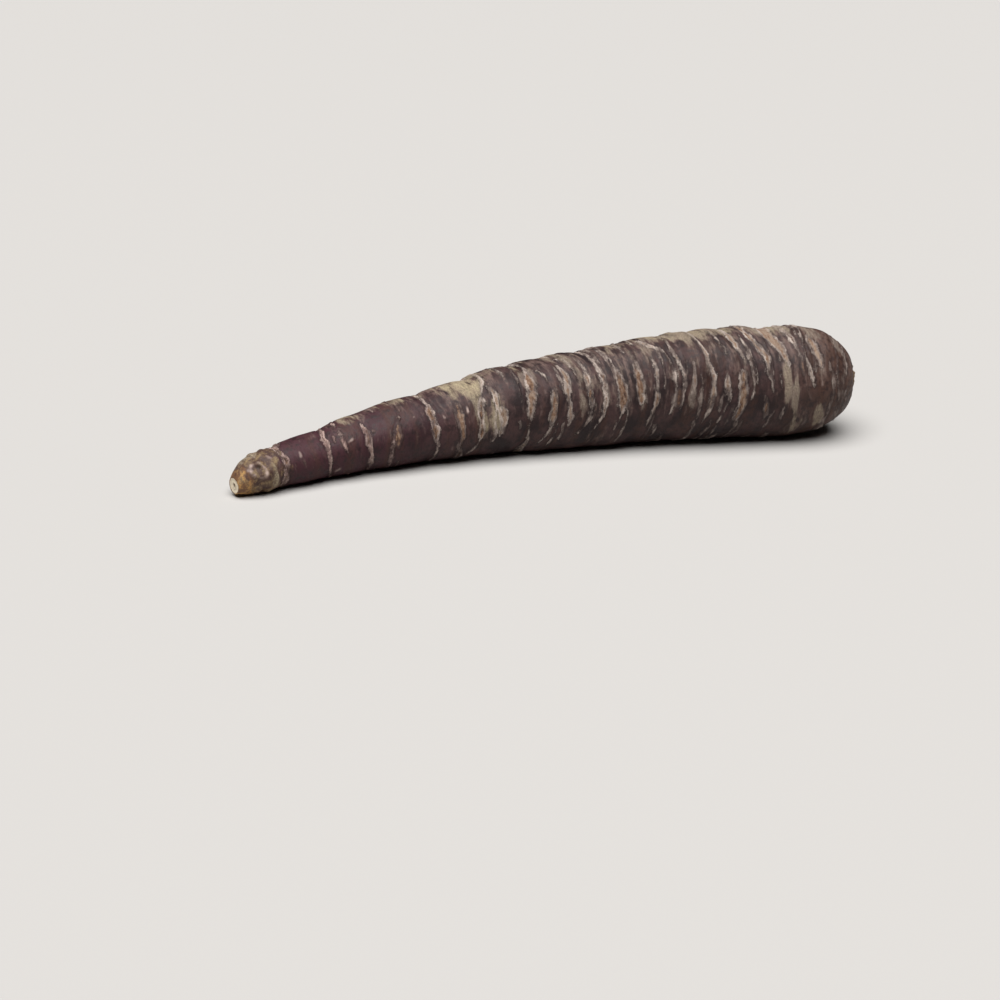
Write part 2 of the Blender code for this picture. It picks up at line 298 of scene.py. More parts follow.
# %% Scars that show: half width, paleness of the lips, tint of the core, and (angle, row) along the middle
# A core's tint is 0 for a dark hollow, 0.35 red-brown, 0.65 orange-brown and 1 for tan cork
SCARS = [
    (0.95, 0.70, 0.35, [
        (-72, 15.2), (-26, 14.6), (1, 14.9), (22, 15.4), (42, 15.4), (64, 14.9), (150, 15.6),
    ]),
    (0.62, 0.72, 0.30, [
        (-70, 31.9), (-26, 30.4), (-3, 30.5), (22, 30.9), (42, 31.2), (68, 31.1), (165, 31.4),
    ]),
    (0.70, 0.74, 0.60, [(-66, 44.7), (-30, 45.7), (-9, 45.8), (12, 45.3), (48, 43.9), (66, 43.0)]),
    (1.10, 0.75, 0.62, [(8, 45.2), (30, 44.6), (54, 43.8)]),
    (1.20, 0.08, 0.60, [(-8, 54.6), (26, 54.6), (44, 55.3)]),
    (0.45, 0.80, 0.50, [(43, 55.3), (54, 55.8)]),
    (0.50, 0.66, 0.40, [
        (-72, 69.3), (-25, 68.6), (-6, 68.0), (20, 67.4), (56, 68.0), (92, 67.2), (165, 67.0),
    ]),
    (1.45, 0.82, 0.62, [(-12, 67.6), (16, 67.1), (34, 67.2), (62, 68.0)]),
    (1.40, 0.25, 0.70, [(-22, 76.5), (-2, 77.4), (10, 77.0), (26, 76.7), (48, 76.9)]),
    (1.35, 0.85, 0.45, [(-24, 83.9), (-10, 84.7), (8, 85.1), (22, 85.6), (50, 86.2)]),
    (0.45, 0.60, 0.20, [(-50, 80.4), (-31, 83.3), (-18, 84.2)]),
    (0.60, 0.80, 0.60, [(46, 86.2), (70, 88.2), (104, 89.0), (150, 88.0)]),
    (1.50, 0.92, 0.95, [(-18, 91.2), (-2, 92.8), (12, 93.2), (26, 92.4)]),
    (1.10, 0.80, 0.90, [(14, 92.6), (30, 91.2), (44, 91.0), (62, 89.2)]),
    (0.60, 0.74, 0.60, [(-26, 89.0), (-10, 90.0), (6, 89.8), (22, 90.6)]),
    (0.50, 0.62, 0.30, [(-38, 103.0), (-8, 102.8), (12, 102.8), (35, 103.4), (70, 104.4), (165, 104.0)]),
    (1.50, 0.64, 0.74, [(-4, 102.8), (14, 102.7), (35, 103.4), (55, 104.0), (78, 104.4)]),
    (0.42, 0.75, 0.60, [(44, 109.2), (56, 108.7), (65, 107.2), (70, 105.0)]),
    (0.55, 0.64, 0.30, [(-36, 108.2), (-26, 109.7), (-16, 110.6), (-1, 110.6), (12, 110.2)]),
    (1.50, 0.55, 0.76, [(-10, 110.5), (10, 110.1), (36, 110.6)]),
    (1.15, 0.68, 0.85, [(-14, 116.8), (8, 116.5), (25, 115.2), (47, 115.9), (70, 115.4)]),
    (0.62, 1.00, 0.80, [(74, 117.4), (84, 117.8)]),
    (0.60, 0.70, 0.50, [(-28, 120.6), (-6, 123.8), (12, 124.0), (30, 123.2), (52, 123.2), (82, 123.6)]),
    (1.20, 0.66, 0.66, [(4, 123.9), (20, 123.6), (34, 123.2)]),
    (0.72, 0.78, 0.50, [
        (-30, 124.8), (-10, 128.0), (12, 129.3), (42, 129.4), (65, 128.8), (80, 128.8), (160, 131.5),
    ]),
    (1.30, 0.72, 0.50, [(22, 129.4), (36, 129.5), (50, 129.2)]),
    (0.50, 0.66, 0.50, [(-26, 133.2), (-2, 135.2), (38, 135.2), (59, 134.8), (86, 134.0), (120, 135.0)]),
    (1.85, 0.78, 0.64, [(-8, 134.8), (12, 135.3), (28, 135.4), (44, 135.2)]),
    (0.62, 0.90, 0.80, [(68, 140.3), (86, 140.0), (112, 141.8)]),
    (1.60, 0.70, 0.60, [(0, 142.0), (28, 142.1), (54, 142.2)]),
    (0.62, 0.66, 0.90, [(-28, 145.7), (-5, 147.3), (7, 148.0), (30, 148.1), (54, 148.0)]),
    (0.95, 0.80, 0.90, [(-6, 147.4), (6, 147.9), (18, 148.1)]),
    (1.10, 1.00, 0.90, [(66, 150.3), (76, 148.6), (90, 147.2)]),
    (0.48, 0.66, 0.40, [(-14, 153.7), (7, 154.4), (30, 154.4), (41, 153.8), (68, 151.7)]),
    (0.62, 0.68, 0.50, [
        (-11, 157.6), (4, 157.8), (28, 157.8), (40, 157.0), (62, 154.9), (78, 155.3), (116, 157.4),
    ]),
    (1.40, 0.05, 0.30, [(-8, 156.0), (4, 156.2), (16, 156.0)]),
    (0.75, 0.44, 0.45, [(-1, 161.0), (20, 161.2), (44, 161.0)]),
    (0.66, 0.68, 0.90, [
        (-30, 166.2), (-16, 167.0), (4, 167.5), (25, 167.5), (45, 166.5), (70, 164.7), (120, 165.4),
    ]),
    (1.10, 0.60, 0.90, [(-18, 167.0), (4, 167.5), (22, 167.5)]),
    (0.55, 0.72, 0.60, [(-28, 171.4), (-14, 172.0), (-4, 172.7), (9, 172.3), (26, 172.2)]),
    (0.95, 0.60, 0.66, [(4, 172.4), (14, 172.3), (26, 172.2)]),
    (0.48, 0.76, 0.60, [(46, 173.7), (58, 172.6), (70, 171.8), (90, 171.0)]),
    (1.80, 0.60, 0.66, [(-28, 177.2), (-10, 177.7), (10, 177.7), (31, 177.5)]),
    (1.10, 0.96, 0.90, [(42, 178.8), (60, 178.0), (71, 177.5), (96, 177.4), (130, 178.2)]),
    (1.50, 0.84, 0.88, [(30, 186.6), (46, 186.9), (56, 185.6), (68, 184.8), (82, 184.2), (112, 184.0)]),
    (0.48, 0.46, 0.20, [(6, 188.4), (20, 187.2), (32, 185.6)]),
    (0.85, 0.32, 0.50, [(-22, 187.8), (-10, 186.6), (4, 185.0)]),
    (2.00, 0.84, 0.92, [
        (32, 194.6), (45, 193.6), (61, 192.2), (75, 191.4), (90, 191.4), (108, 192.4), (152, 192.0),
    ]),
    (0.88, 0.66, 0.50, [(34, 199.4), (51, 198.5), (78, 196.6), (110, 196.0)]),
    (0.85, 0.15, 0.35, [(22, 199.5), (32, 199.3), (42, 199.0)]),
    (0.50, 0.86, 0.50, [(9, 203.5), (22, 202.7), (46, 200.5)]),
    (1.30, 0.70, 1.00, [(31, 206.0), (52, 204.3), (74, 202.5)]),
    (1.10, 0.05, 0.00, [(-54, 195.0), (-40, 196.4), (-26, 197.0)]),
    (0.90, 0.10, 0.00, [(-50, 199.6), (-38, 200.6), (-24, 201.0)]),
    (0.42, 0.36, 0.30, [(-40, 207.8), (-5, 210.0), (14, 210.0), (38, 208.7)]),
]

# %% Scars on the sides that face away, drawn at random in the same way
HIDDEN_COUNT = 46
HIDDEN_WIDTHS = (0.5, 1.9)
HIDDEN_PALENESS = (0.45, 0.95)
HIDDEN_POINTS = 4
HIDDEN_BEND = 1.6
EXTRA_ROWS = (18, 208)  # of the scars beyond the sunk rings
EXTRA_MIDDLE = (120, 260)
EXTRA_HALF = (8, 34)
draw = np.random.default_rng(SEED + 1)
extra = HIDDEN_COUNT - len(RINGS)
hidden_rows = np.concatenate([RINGS[:, 0], draw.uniform(*EXTRA_ROWS, extra)])
middles = np.concatenate([hidden_middle, draw.uniform(*EXTRA_MIDDLE, extra)])
halves = np.concatenate([hidden_half, draw.uniform(*EXTRA_HALF, extra)])
for at_row, at_angle, half in zip(hidden_rows, middles, halves):
    bends = at_row + draw.uniform(-HIDDEN_BEND, HIDDEN_BEND, HIDDEN_POINTS)
    path = list(zip(np.linspace(at_angle - half, at_angle + half, HIDDEN_POINTS), bends))
    SCARS.append((draw.uniform(*HIDDEN_WIDTHS), draw.uniform(*HIDDEN_PALENESS), draw.uniform(0, 1), path))
print("scars:", len(SCARS) - HIDDEN_COUNT, "that show and", HIDDEN_COUNT, "that face away")

# %% Fine scars all round: short flecks, and long thin lines along the rings, more of them near the crown
# Each has a count, then the lowest and highest half angle, half width and paleness
FLECKS = (90, (4, 12), (0.30, 0.50), (0.10, 0.55))
LINES = (85, (16, 48), (0.26, 0.44), (0.20, 0.70))
FINE_LAST_ROW = 215
FINE_REACH = 185
FINE_CROWDING = 1.7
FINE_ANGLES = (-80, 280)
FINE_SLANT = 0.9
FINE_TINT = 0.8
for count, halves, widths, palenesses in (FLECKS, LINES):
    fine_rows = FINE_LAST_ROW - FINE_REACH * draw.uniform(0, 1, count) ** FINE_CROWDING
    for at_row, at_angle in zip(fine_rows, draw.uniform(*FINE_ANGLES, count)):
        half = draw.uniform(*halves)
        start_row = at_row + draw.uniform(-FINE_SLANT, FINE_SLANT)
        path = [(at_angle - half, start_row), (at_angle + half, at_row)]
        SCARS.append((draw.uniform(*widths), draw.uniform(*palenesses), draw.uniform(0, FINE_TINT), path))
print("scars with the fine ones:", len(SCARS))

# %% One number for every point: how far it is inside the nearest scar
WANDER = 0.22
RAGGED = 0.24
WAVES_ROUND = np.array([5, 9, 14, 23, 41])
WAVE_FALL = 0.4
LENS_POWERS = (3, 0.6)
UNEVEN_LIPS = 0.35
FAR = 4.0  # millimetres from a scar beyond which its colour doesn't matter
BLEND = 5.0  # how sharply one scar's colour gives way to the next


def wavering(degrees, draw):
    """Values mostly between -1 and 1 that return after a full turn: sines, weaker as they get finer."""
    phases = draw.uniform(0, 2 * np.pi, len(WAVES_ROUND))
    waves = np.sin(np.radians(degrees)[:, None] * WAVES_ROUND + phases)
    return (waves / WAVES_ROUND**WAVE_FALL).sum(axis=1)


def inside_scar(row, degrees, half_width, path, draw):
    """Half the lens's width at that angle, less the distance along the root from its middle line.

    The half width is a rounded lens of the angle, roughened. Past its ends it falls below 0 by the distance.
    The second result runs from -1 at the lip towards the tip to 1 at the lip towards the crown.
    """
    path_angles, path_rows = np.array(path).T
    middle = (path_angles[0] + path_angles[-1]) / 2
    half = (path_angles[-1] - path_angles[0]) / 2
    from_middle = turned(degrees - middle)
    held = np.clip(from_middle, -half, half) + middle
    line = curve_through(path_angles, path_rows, held) + WANDER * wavering(degrees, draw)
    share = np.abs(from_middle) / half
    lens = (1 - np.minimum(share, 1) ** LENS_POWERS[0]) ** LENS_POWERS[1]
    lens = lens * (1 + RAGGED * wavering(degrees, draw))
    past_end = np.maximum(share - 1, 0) * np.radians(half) * body_radius(path_rows.mean())
    return half_width * lens - past_end - np.abs(row - line), np.clip((row - line) / half_width, -1, 1)


def scar_numbers(row, degrees, scars):
    """The deepest value over all scars, and each one's paleness and tint weighted towards the deepest."""
    draw = np.random.default_rng(SEED + 2)
    deepest = np.full(row.shape, -FAR)
    total = np.zeros(row.shape)
    paleness = np.zeros(row.shape)
    tint = np.zeros(row.shape)
    for half_width, pale, core, path in scars:
        inside, side = inside_scar(row, degrees, half_width, path, draw)
        weight = np.exp(BLEND * np.clip(inside, -FAR, FAR))
        deepest = np.maximum(deepest, inside)
        total += weight
        paleness += weight * (pale + UNEVEN_LIPS * draw.uniform(-1, 1) * side)
        tint += weight * core
    return deepest, paleness / total, tint / total


scar_depth, scar_pale, scar_tint = scar_numbers(row, degrees_round, SCARS)
print("share of the skin that is scar:", round(float((scar_depth > 0).mean()), 3))

# %% [markdown]
# ## Scurf, and the stubs of side roots
# Here and there the outermost skin has dried to a thin grey or straw-coloured film. Each patch is a soft
# oval, and the material frays its edge. Near the tip a side root has come away and left a pit in a pale
# ring, and small pale dots mark where others never grew.

# %% Patches of dry film: row, half length, from, to, strength, straw
PATCHES = np.array([
    (193.6, 1.9, -8, 46, 0.84, 0.40),
    (197.0, 1.7, -24, 30, 0.78, 0.30),
    (103.8, 2.4, 38, 76, 0.66, 0.00),
    (84.0, 12.0, 44, 132, 0.66, 1.00),
    (89.0, 6.0, -28, 64, 0.64, 0.85),
    (57.0, 17.0, 94, 162, 0.44, 0.50),
    (7.0, 6.0, 84, 150, 0.66, 0.60),
    (10.8, 1.5, -55, 60, 0.72, 1.00),
    (6.0, 2.0, -60, 0, 0.42, 0.20),
    (205.5, 2.4, -54, -4, 0.58, 0.45),
    (198.5, 2.4, -54, -10, 0.56, 0.40),
    (206.0, 9.0, 62, 132, 0.54, 0.20),
    (122.0, 14.0, -4, 62, 0.38, 0.20),
    (161.5, 4.0, 66, 112, 0.60, 0.45),
    (173.5, 3.0, 74, 125, 0.58, 0.40),
    (148.5, 3.0, 60, 100, 0.54, 0.20),
    (118.0, 5.0, 66, 118, 0.54, 0.35),
    (133.0, 4.0, 70, 125, 0.54, 0.30),
    (186.0, 6.0, 72, 130, 0.50, 0.30),
    (150.0, 9.0, 150, 215, 0.55, 0.40),
    (60.0, 7.0, 190, 250, 0.50, 0.50),
    (112.0, 8.0, 170, 235, 0.52, 0.30),
    (198.0, 7.0, 165, 240, 0.46, 0.40),
])
PATCH_FALL = 1.1
# Away from the patches the skin is drier towards the crown. On top it is drier and paler, partly as a painted
# highlight, and the underside is fresher and darker, partly as painted shade
WEATHER_LEFT = 0.22
WEATHER_RIGHT = 0.32
WEATHER_CHANGES = (75, 125)
DRY_AND_LIT_TOP = 0.20
FRESH_AND_SHADED_UNDERSIDE = 0.22
WEATHER_DRIFT = 0.13
WEATHER_RAGGED = 0.10
TOP_MIDDLE = 112
TOP_HALF = 40
TOP_GROWS = (12, 45)
TOP_FADES = (194, 208)
TOP_LOST = 0.8  # the share of it that is gone at the crown
LOW_SIDE = (-0.35, 0.5)  # sines of the angle below the level
STRAW_LEAST = 0.10
STRAW_TOP = 0.60
top_side = np.exp(-((turned(angle - TOP_MIDDLE) / TOP_HALF) ** 4))
top_side = top_side * soft_step(*TOP_GROWS, row) * (1 - TOP_LOST * soft_step(*TOP_FADES, row))
dryness_and_painted_light = WEATHER_LEFT + (WEATHER_RIGHT - WEATHER_LEFT) * soft_step(*WEATHER_CHANGES, row)
# More and paler film on top and less underneath: partly real dryness, partly a painted highlight on top and
# painted shade on the underside
dryness_and_painted_light = dryness_and_painted_light + DRY_AND_LIT_TOP * top_side - FRESH_AND_SHADED_UNDERSIDE * soft_step(*LOW_SIDE, -np.sin(turn))
straw = STRAW_LEAST + STRAW_TOP * top_side
for middle, half_length, start, end, strength, straw_share in PATCHES:
    along = (row - middle) / half_length
    round_it = turned(angle - (start + end) / 2) / ((end - start) / 2)
    cover = np.exp(-PATCH_FALL * (along**2 + round_it**2) ** 2)
    dryness_and_painted_light = dryness_and_painted_light + cover * np.maximum(strength - dryness_and_painted_light, 0)
    straw = straw + cover * (straw_share - straw)
print("dryness from", round(float(dryness_and_painted_light.min()), 2), "to", round(float(dryness_and_painted_light.max()), 2))

# %% Pits and dots: row, angle, radius, height of the rim, paleness
DOTS = np.array([
    (6.0, 35, 2.90, 0.45, 0.95),
    (3.6, 46, 0.80, 0.25, 0.75),
    (10.8, 62, 0.90, 0.15, 0.55),
    (21.0, 34, 0.75, 0.10, 0.75),
    (33.5, -28, 0.95, 0.10, 0.70),
    (38.6, 33, 0.75, 0.10, 0.75),
    (61.0, 42, 0.40, 0.05, 0.55),
    (71.0, 29, 0.62, 0.10, 0.75),
    (80.0, 30, 0.80, 0.12, 0.95),
    (74.0, -26, 0.60, 0.08, 0.40),
    (145.4, 18, 0.55, 0.06, 0.45),
    (206.0, 12, 0.60, 0.06, 0.50),
    (52.0, 160, 0.80, 0.10, 0.70),
    (98.0, 205, 0.70, 0.10, 0.60),
    (139.0, 240, 0.80, 0.10, 0.60),
    (182.0, 190, 0.70, 0.10, 0.70),
])
PIT = (6.5, 43, 0.85, 0.75)  # row, angle, radius and depth of the hollow inside the ring
RINGED_FROM = 1.5  # a dot of a greater radius than this is a pale, broken ring
# How far a dot is from round, where its ring and its rim are, and how much of the ring is there, as shares
DOT_BENT = 0.38
RINGED_BENT = 0.18
DOT_RING = 0.8
DOT_RING_HALF = 0.22
DOT_RIM = 0.75
DOT_RIM_HALF = 0.35
DOT_RING_COVER = 0.62
DOT_RING_BREAKS = (0.24, 0.20)
dot = np.zeros(row.shape)
dot_height = np.zeros(row.shape)
for at_row, at_angle, reach, rim, paleness in DOTS:
    round_it = np.radians(turned(angle - at_angle)) * body_radius(at_row)
    share = np.hypot(row - at_row, round_it) / reach
    around = np.arctan2(round_it, row - at_row)
    ringed = reach > RINGED_FROM
    bent = RINGED_BENT if ringed else DOT_BENT
    share = share * (1 + bent * np.sin(2 * around + 0.1 * at_row) + 0.3 * bent * np.sin(3 * around))
    broken = DOT_RING_COVER + DOT_RING_BREAKS[0] * np.sin(2 * around + 2.4)
    broken = broken + DOT_RING_BREAKS[1] * np.sin(7 * around)
    ring = np.exp(-(((share - DOT_RING) / DOT_RING_HALF) ** 2)) * broken
    dot = np.maximum(dot, paleness * (ring if ringed else np.exp(-(share**4))))
    dot_height = dot_height + rim * np.exp(-(((share - DOT_RIM) / DOT_RIM_HALF) ** 2))
pit_round = np.radians(turned(angle - PIT[1])) * body_radius(PIT[0])
pit = np.exp(-((np.hypot(row - PIT[0], pit_round) / PIT[2]) ** 2))
print("dots:", len(DOTS), "and a pit", PIT[3], "mm deep")

# %% [markdown]
# ## Fine relief
# The lips of a scar stand up a little, the skin dips just outside them, and the core is a crumble of cork.
# Smooth noise from a lattice of random numbers gives the crumble, and the slight unevenness of the skin.
# It works on the straightened root, in millimetres, so that its grain follows the rings.

# %% Smooth noise
LATTICE = 40
ROUND_STRETCH = [1.0, 0.12, 0.12]  # squeezes the place, and so draws the grain out round the root


def lattice_noise(points, grain, seed):
    """Random numbers at the corners of cubes one grain wide, mixed inside each by soft steps of place."""
    lattice = np.random.default_rng(seed).uniform(-1, 1, (LATTICE,) * 3)
    cell = points / grain
    low = np.floor(cell).astype(int)
    share = soft_step(0, 1, cell - low)
    value = np.zeros(points.shape[:-1])
    for corner in np.ndindex(2, 2, 2):
        weight = np.where(corner, share, 1 - share).prod(axis=-1)
        x, y, z = np.moveaxis((low + corner) % LATTICE, -1, 0)
        value += weight * lattice[x, y, z]
    return value


straight = np.stack([row, plain * np.cos(turn), plain * np.sin(turn)], axis=-1)
crumble = lattice_noise(straight, grain=1.1, seed=21) + 0.6 * lattice_noise(straight, grain=0.6, seed=22)
uneven = lattice_noise(straight, grain=7.0, seed=23) + 0.5 * lattice_noise(straight, grain=3.2, seed=24)
round_grain = lattice_noise(straight * ROUND_STRETCH, grain=1.3, seed=25)
drift = lattice_noise(straight, grain=16.0, seed=26)
print("noise spans", round(float(crumble.min()), 2), "to", round(float(crumble.max()), 2))

# %% Height of the fine relief, in millimetres
LIP_HEIGHT = 0.20
LIP_MIDDLE = 0.30
LIP_HALF = 0.32
CLEFT_DEPTH = 0.14
CLEFT_OUTSIDE = 0.35
CLEFT_HALF = 0.28
CORE_STARTS = (0.3, 0.9)
CRUMBLE_HEIGHT = 0.13
UNEVEN_HEIGHT = 0.10
ROUND_GRAIN_HEIGHT = 0.035
UNDERSIDE_SMOOTH = (4, 24)  # degrees from the underside, which rests on its flat spots

lip = np.exp(-(((scar_depth - LIP_MIDDLE) / LIP_HALF) ** 2)) * (0.5 + scar_pale)
cleft = np.exp(-(((scar_depth + CLEFT_OUTSIDE) / CLEFT_HALF) ** 2))
cored = soft_step(*CORE_STARTS, scar_depth)
fine = LIP_HEIGHT * lip * (1 + 0.5 * crumble) - CLEFT_DEPTH * cleft + CRUMBLE_HEIGHT * cored * crumble
fine = fine + UNEVEN_HEIGHT * uneven + ROUND_GRAIN_HEIGHT * round_grain
fine = fine + dot_height * (1 + 0.5 * crumble) - PIT[3] * pit
off_underside = soft_step(*UNDERSIDE_SMOOTH, np.abs(turned(angle - UNDERSIDE)))
skinned = soft_step(0, TIP_BARE_ENDS, row) * (1 - soft_step(SHOULDER_TURN, SHOULDER_BARE, row))
print("fine relief in mm:", round(float(fine.min()), 2), "to", round(float(fine.max()), 2))

# %% [markdown]
# ## The crown and the broken tip
# The leaves were cut off at the crown. What is left is a shallow dish with a low cone of cork in it, where
# the bases of the leaf stalks stand in whorls like small worn scales. The skin round the dish is puckered.
# At the tip the thin tap root has snapped, which leaves a cream disc of torn fibres with a small dark hole.

# %% Relief of the crown and of the tip's face
LEAF_BASE_RIPPLE = 0.3
RIPPLE_GROWS = (0, 4)
STALKS = 15
STALK_HEIGHT = 0.6
STALK_INNERMOST = 0.6
STALK_NEAREST = 1.0
STALK_SPAN = 5.0
STALK_CROWDING = 0.6
STALK_CURVE = 0.18
STALK_WIDTH = 0.8
STALK_WIDENS = 0.14  # millimetres from each leaf to the next
STALK_THICK = 0.5
STALK_WEAR = 0.3
GOLDEN = 137.508  # each leaf grows this many degrees on from the last
PUCKERS = 19
PUCKER_HEIGHT = 0.16
PUCKER_RADIUS = 9.0
PUCKER_REACH = 3.0
DISH_CORK_HEIGHT = 0.16
FACE_FIBRE_HEIGHT = 0.10
FACE_FIBRES_GROW = (0.8, 2.0)

ripple = LEAF_BASE_RIPPLE * (np.cos(5 * turn) + 0.7 * np.cos(3 * turn + 1) + 0.5 * np.cos(8 * turn))
ripple = ripple * on_leaf_scar * soft_step(*RIPPLE_GROWS, plain)
stalk_height = np.zeros(row.shape)
for leaf in range(STALKS):
    at_radius = STALK_NEAREST + STALK_SPAN * ((leaf + 0.5) / STALKS) ** STALK_CROWDING
    around = np.radians(turned(angle - leaf * GOLDEN)) * np.maximum(plain, STALK_INNERMOST)
    outward = plain - at_radius - STALK_CURVE * around**2 / at_radius
    width = STALK_WIDTH + STALK_WIDENS * leaf
    shape = np.exp(-((around / width) ** 4) - (outward / STALK_THICK) ** 4)
    worn = 1 - STALK_WEAR + STALK_WEAR * np.sin(2.4 * leaf)
    stalk_height = np.maximum(stalk_height, STALK_HEIGHT * shape * worn)
stalk_height = stalk_height * on_leaf_scar * (1 + 0.25 * crumble)
near_dish = np.exp(-(((plain - PUCKER_RADIUS) / PUCKER_REACH) ** 2)) * (row > SHOULDER_START) * ~on_leaf_scar
pucker = PUCKER_HEIGHT * near_dish * (np.cos(PUCKERS * turn + 2 * np.sin(3 * turn)) + 0.5 * uneven)
dish_cork = DISH_CORK_HEIGHT * crumble * on_leaf_scar
face_fibres = FACE_FIBRE_HEIGHT * crumble * on_face * soft_step(*FACE_FIBRES_GROW, plain)
print("highest stub of a leaf stalk in mm:", round(float(stalk_height.max()), 2))

# %% Put it together: every point of the skin in metres
radius = plain * section(station, angle) + form_relief(row, angle) * skinned + ripple
radius = radius + fine * off_underside * skinned * ~on_leaf_scar + pucker
axis, across = axis_points(station)
axis[..., 0] += stalk_height + dish_cork - face_fibres
points = axis - (radius * np.cos(turn))[..., None] * across
points[..., 2] = np.maximum(points[..., 2] + radius * np.sin(turn), 0)
middle = (points.min(axis=(0, 1)) + points.max(axis=(0, 1))) / 2
cad_middle = (np.array(cad_low) + np.array(cad_high)) / 2
points[..., :2] += cad_middle[:2] / MM - middle[:2]
points = points * MM
print("skin box in mm:", np.round((points.max(axis=(0, 1)) - points.min(axis=(0, 1))) / MM, 1))

# %% [markdown]
# ## From grid to mesh
# Each cell of the grid is a face with four corners. The last column joins the first, and each end closes
# on one point with a fan of triangles, so the skin is one closed surface with its faces outwards.

# %% Build the skin
def closed_mesh(name, points):
    """A mesh of rows by points round, where the first and last row have become one point each."""
    rows, round_it = points.shape[:2]
    inner = points[1:-1].reshape(-1, 3)
    corners = np.vstack([inner, points[0, :1], points[-1, :1]])
    grid = np.arange(len(inner)).reshape(rows - 2, round_it)
    following = np.roll(grid, -1, axis=1)
    quads = np.stack([grid[:-1], grid[1:], following[1:], following[:-1]], axis=-1).reshape(-1, 4)
    first, last = len(inner), len(inner) + 1
    tip_fan = np.stack([np.full(round_it, first), grid[0], following[0]], axis=-1)
    crown_fan = np.stack([np.full(round_it, last), following[-1], grid[-1]], axis=-1)
    mesh = bpy.data.meshes.new(name)
    mesh.from_pydata(corners.tolist(), [], quads.tolist() + tip_fan.tolist() + crown_fan.tolist())
    mesh.validate()
    mesh.shade_smooth()
    return mesh


def grid_values(values):
    """The same order as closed_mesh: the inner rows, then the first point and the last."""
    return np.concatenate([values[1:-1].reshape(-1, *values.shape[2:]), values[0, :1], values[-1, :1]])


def give_numbers(mesh, name, values):
    """Stores one number, or one vector, for each point of the mesh."""
    flat = grid_values(values)
    kind, field = ("FLOAT_VECTOR", "vector") if flat.ndim == 2 else ("FLOAT", "value")
    attribute = mesh.attributes.new(name, kind, "POINT")
    attribute.data.foreach_set(field, flat.ravel().astype(np.float32))


FACE_EDGE = (2.2, 2.9)  # radii between which the cream disc gives way to the skin
skin_mesh = closed_mesh("carrot_skin", points)
for name, values in {
    "straight": straight,
    "row": row,
    "scar_depth": scar_depth,
    "scar_pale": scar_pale,
    "scar_tint": scar_tint,
    "dryness_and_painted_light": dryness_and_painted_light + WEATHER_DRIFT * drift + WEATHER_RAGGED * uneven,
    "straw": straw,
    "dot": dot,
    "pit": pit,
    "face": on_face * (1 - soft_step(*FACE_EDGE, plain)),
    "leaf_scar": on_leaf_scar * np.ones(row.shape),
    "stalk": stalk_height / STALK_HEIGHT,
}.items():
    give_numbers(skin_mesh, name, values)
carrot_skin = bpy.data.objects.new("carrot_skin", skin_mesh)
bpy.context.collection.objects.link(carrot_skin)
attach(carrot_skin, "root")
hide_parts("taproot")
print("faces of the skin:", len(skin_mesh.polygons))

# %% [markdown]
# ## The finish
# Real skin here is a satin film over purple flesh: dark, slightly glossy, never even. Cork is the opposite:
# pale, dull and grainy. The material mixes the two by the numbers that the mesh carries, and frays each
# edge with noise, so that nothing ends in a clean line.

# %% Colours and the one helper for nodes
def paint(code):
    """The linear colour of an sRGB hex value.

    Each part, from 0 to 1, gains 0.055, is divided by 1.055 and is raised to the power 2.4.
    The smallest ones are divided by 12.92 instead.
    """
    parts = np.array([int(code[i:i + 2], 16) for i in (1, 3, 5)]) / 255
    linear = np.where(parts <= 0.04045, parts / 12.92, ((parts + 0.055) / 1.055) ** 2.4)
    return (*linear.tolist(), 1.0)


def add_node(tree, kind, inputs=None, out=0, **settings):
    """Adds a node with its settings, links or fills its inputs, and returns one of its outputs."""
    node = tree.nodes.new(kind)
    for name, value in settings.items():
        setattr(node, name, value)
    for key, value in (inputs or {}).items():
        if isinstance(value, bpy.types.NodeSocket):
            tree.links.new(value, node.inputs[key])
        else:
            node.inputs[key].default_value = value
    return node.outputs[out]


MATH = "ShaderNodeMath"
TIMES = {"operation": "MULTIPLY"}
PLUS = {"operation": "ADD"}
LARGER = {"operation": "MAXIMUM"}
TIMES_PLUS = {"operation": "MULTIPLY_ADD"}  # the first input times the second, plus the third
# Sockets of a Mix node: its share, the two colours and their mix, and the two numbers
MIX_FACTOR = 0
MIX_UNDER = 6
MIX_OVER = 7
MIX_OUT = 2
MIX_FIRST = 2
MIX_SECOND = 3


def paint_layers(tree, colour, layers):
    """Lays colours over a colour one after another, each one as strongly as its mask says."""
    for mask, over in layers:
        sockets = {MIX_FACTOR: mask, MIX_UNDER: colour, MIX_OVER: over}
        colour = add_node(tree, "ShaderNodeMix", sockets, out=MIX_OUT, data_type="RGBA")
    return colour


# %% Dark carrot skin: numbers from the mesh, and eight noises
skin = bpy.data.materials.new("dark_carrot_skin")
skin.use_nodes = True
tree = skin.node_tree
shader = tree.nodes["Principled BSDF"]
where = add_node(tree, "ShaderNodeAttribute", attribute_name="straight", out="Vector")
number = {
    name: add_node(tree, "ShaderNodeAttribute", attribute_name=name, out="Fac")
    for name in skin_mesh.attributes.keys()
    if skin_mesh.attributes[name].data_type == "FLOAT"
}
